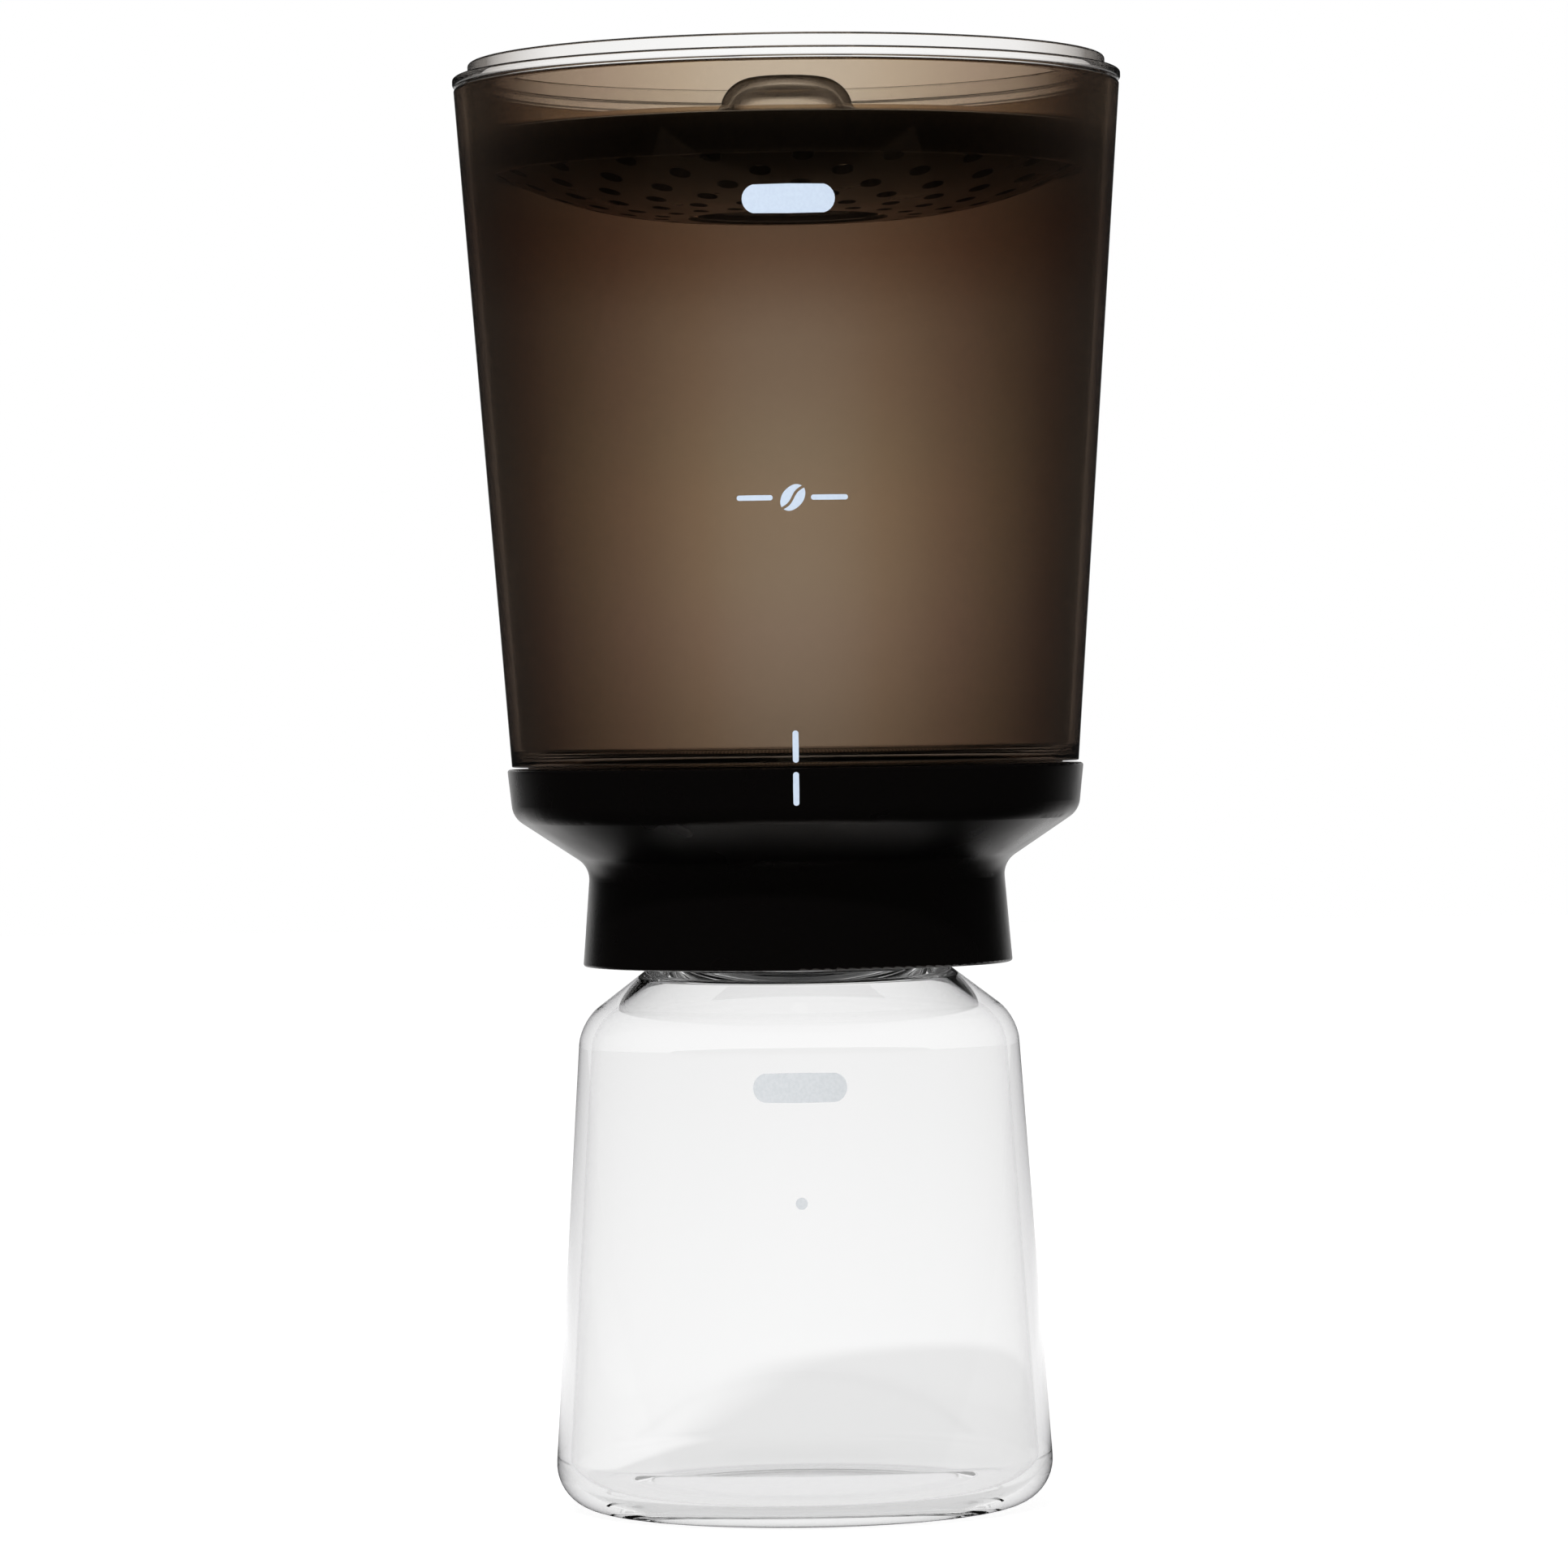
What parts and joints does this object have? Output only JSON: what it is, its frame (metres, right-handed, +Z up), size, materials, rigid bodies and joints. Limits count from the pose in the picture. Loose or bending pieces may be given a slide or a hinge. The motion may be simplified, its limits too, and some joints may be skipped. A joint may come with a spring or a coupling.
{
  "type": "cold brew coffee maker",
  "caption": "Compact cold brew coffee maker: tapered smoke brew container with a rain dish in its top and a fine strainer, on a black drain valve base that stands on a glass carafe.",
  "frame": {"origin": "centre of the carafe's underside, on the plane that it stands on", "axes": "+Z up along the maker's axis of revolution; -Y is the front, with the printed lines; +X is the maker's left as it faces you, the right of the picture"},
  "size_m": [0.142, 0.142, 0.3071],
  "materials": {
    "carafe_glass": "clear pressed and blown glass, polished",
    "smoke_plastic": "transparent grey-brown copolyester, polished",
    "clear_plastic": "clear copolyester, polished",
    "black_shell": "black moulded polypropylene, fine matt texture",
    "black_dish": "black moulded polypropylene, satin",
    "black_moulding": "black moulded polypropylene, plain",
    "silicone": "grey food-grade silicone, soft matt",
    "stainless": "stainless steel, drawn and tumbled",
    "steel_mesh": "fine woven stainless mesh"
  },
  "bodies": {
    "carafe": {"glass_carafe": "carafe_glass"},
    "valve": {"rim_pad": "silicone", "valve_actuator": "black_moulding", "valve_stem": "black_moulding", "valve_seal": "silicone", "stem_screw": "stainless", "valve_spring": "stainless"},
    "base": {"base_collar": "black_shell", "base_funnel": "black_moulding", "valve_retainer": "black_moulding", "retainer_screws": "stainless", "container_seal": "silicone"},
    "filter": {"filter_frame": "black_moulding", "filter_mesh": "steel_mesh", "filter_clamp": "black_moulding", "filter_gasket": "silicone"},
    "container": {"brew_container": "smoke_plastic"},
    "dish": {"dish_ring": "clear_plastic", "rain_dish": "black_dish", "dish_knob": "clear_plastic"}
  },
  "joints": [
    {"name": "lift_off", "type": "slide", "parent": "carafe", "child": "valve", "axis": [0, 0, 1], "range_m": [0, 0.06]},
    {"name": "valve_close", "type": "slide", "parent": "valve", "child": "base", "axis": [0, 0, 1], "range_m": [0, 0.0037], "stiffness_N_per_m": 100, "springref_m": 0.012, "deforming": ["valve_spring"]},
    {"name": "container_twist", "type": "hinge", "parent": "base", "child": "container", "pos_m": [0, 0, 0.1505], "axis": [0, 0, 1], "range_deg": [0, 30]},
    {"name": "filter_lift", "type": "slide", "parent": "base", "child": "filter", "axis": [0, 0, 1], "range_m": [0, 0.1]},
    {"name": "dish_lift", "type": "slide", "parent": "container", "child": "dish", "axis": [0, 0, 1], "range_m": [0, 0.045]}
  ]
}
